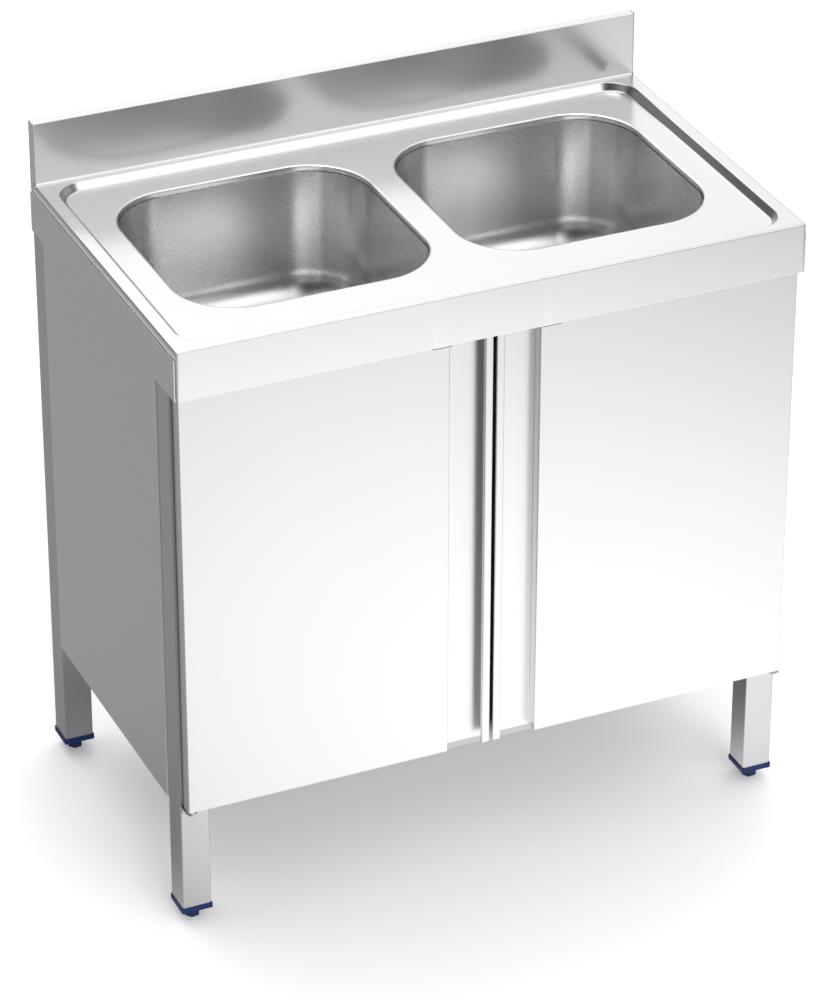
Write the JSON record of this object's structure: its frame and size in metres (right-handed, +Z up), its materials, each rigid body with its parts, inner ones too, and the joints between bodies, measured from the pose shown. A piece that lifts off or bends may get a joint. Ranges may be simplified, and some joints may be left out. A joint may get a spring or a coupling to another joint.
{
  "type": "kitchen sink unit",
  "caption": "Stainless kitchen sink unit: pressed worktop with twin bowls and upstand on a closed base cabinet with hinged doors and screw feet.",
  "frame": {"origin": "on the floor, under the middle of the unit's outer box", "axes": "+X to the right as seen from the front, +Y from the doors to the wall, +Z up"},
  "size_m": [0.8536, 0.506, 0.9375],
  "materials": {
    "worktop_steel": "satin stainless sheet",
    "bowl_steel": "satin pressed stainless steel",
    "waste_steel": "polished turned stainless steel",
    "waste_plastic": "moulded plastic",
    "rubber_seal": "soft black rubber",
    "panel_steel": "satin stainless sheet",
    "frame_steel": "satin stainless sheet",
    "door_steel": "satin stainless sheet",
    "hinge_steel": "satin stainless steel",
    "bush_nylon": "white nylon",
    "catch_plastic": "black moulded plastic",
    "magnet": "dark sintered magnet",
    "leg_steel": "satin square tube",
    "blue_plastic": "dark blue moulded plastic",
    "foot_plastic": "dark blue moulded plastic",
    "screw_steel": "plain steel"
  },
  "bodies": {
    "cabinet": {"back_panel": "panel_steel", "back_panel_screws": "screw_steel", "bottom_shelf": "panel_steel", "bowl_left": "bowl_steel", "bowl_right": "bowl_steel", "bowl_stiffener": "frame_steel", "catch_body_left": "catch_plastic", "catch_body_right": "catch_plastic", "catch_magnet_left": "magnet", "catch_magnet_right": "magnet", "catch_screws": "screw_steel", "front_stile_left": "frame_steel", "front_stile_right": "frame_steel", "hinge_bracket_lower_left": "hinge_steel", "hinge_bracket_lower_right": "hinge_steel", "hinge_bracket_upper_left": "hinge_steel", "hinge_bracket_upper_right": "hinge_steel", "hinge_pin_lower_left": "hinge_steel", "hinge_pin_lower_right": "hinge_steel", "hinge_pin_upper_left": "hinge_steel", "hinge_pin_upper_right": "hinge_steel", "hinge_screws": "screw_steel", "leg_front_left": "leg_steel", "leg_front_right": "leg_steel", "leg_insert_front_left": "blue_plastic", "leg_insert_front_right": "blue_plastic", "leg_insert_rear_left": "blue_plastic", "leg_insert_rear_right": "blue_plastic", "leg_rear_left": "leg_steel", "leg_rear_right": "leg_steel", "side_panel_left": "panel_steel", "side_panel_right": "panel_steel", "top_rail_front": "frame_steel", "top_rail_left": "frame_steel", "top_rail_rear": "frame_steel", "top_rail_right": "frame_steel", "upstand_end_cap_left": "worktop_steel", "upstand_end_cap_right": "worktop_steel", "waste_body_left": "waste_plastic", "waste_body_right": "waste_plastic", "waste_flange_left": "waste_steel", "waste_flange_right": "waste_steel", "waste_gasket_left": "rubber_seal", "waste_gasket_right": "rubber_seal", "waste_grid_left": "waste_steel", "waste_grid_right": "waste_steel", "waste_grid_screws": "screw_steel", "worktop": "worktop_steel"},
    "door_left": {"door_skin_left": "door_steel", "door_liner_left": "door_steel", "hinge_bush_lower_left": "bush_nylon", "hinge_bush_upper_left": "bush_nylon"},
    "door_right": {"door_skin_right": "door_steel", "door_liner_right": "door_steel", "hinge_bush_lower_right": "bush_nylon", "hinge_bush_upper_right": "bush_nylon"},
    "foot_front_left": {"foot_front_left": "foot_plastic"},
    "foot_front_right": {"foot_front_right": "foot_plastic"},
    "foot_rear_left": {"foot_rear_left": "foot_plastic"},
    "foot_rear_right": {"foot_rear_right": "foot_plastic"}
  },
  "joints": [
    {"name": "door_left_hinge", "type": "hinge", "parent": "cabinet", "child": "door_left", "pos_m": [-0.4152, -0.2385, 0.4816], "axis": [0, 0, -1], "range_deg": [0, 110]},
    {"name": "door_right_hinge", "type": "hinge", "parent": "cabinet", "child": "door_right", "pos_m": [0.4152, -0.2385, 0.4816], "axis": [0, 0, 1], "range_deg": [0, 110]},
    {"name": "foot_front_left_height", "type": "slide", "parent": "cabinet", "child": "foot_front_left", "axis": [0, 0, -1], "range_m": [0, 0.02]},
    {"name": "foot_front_right_height", "type": "slide", "parent": "cabinet", "child": "foot_front_right", "axis": [0, 0, -1], "range_m": [0, 0.02]},
    {"name": "foot_rear_left_height", "type": "slide", "parent": "cabinet", "child": "foot_rear_left", "axis": [0, 0, -1], "range_m": [0, 0.02]},
    {"name": "foot_rear_right_height", "type": "slide", "parent": "cabinet", "child": "foot_rear_right", "axis": [0, 0, -1], "range_m": [0, 0.02]}
  ]
}
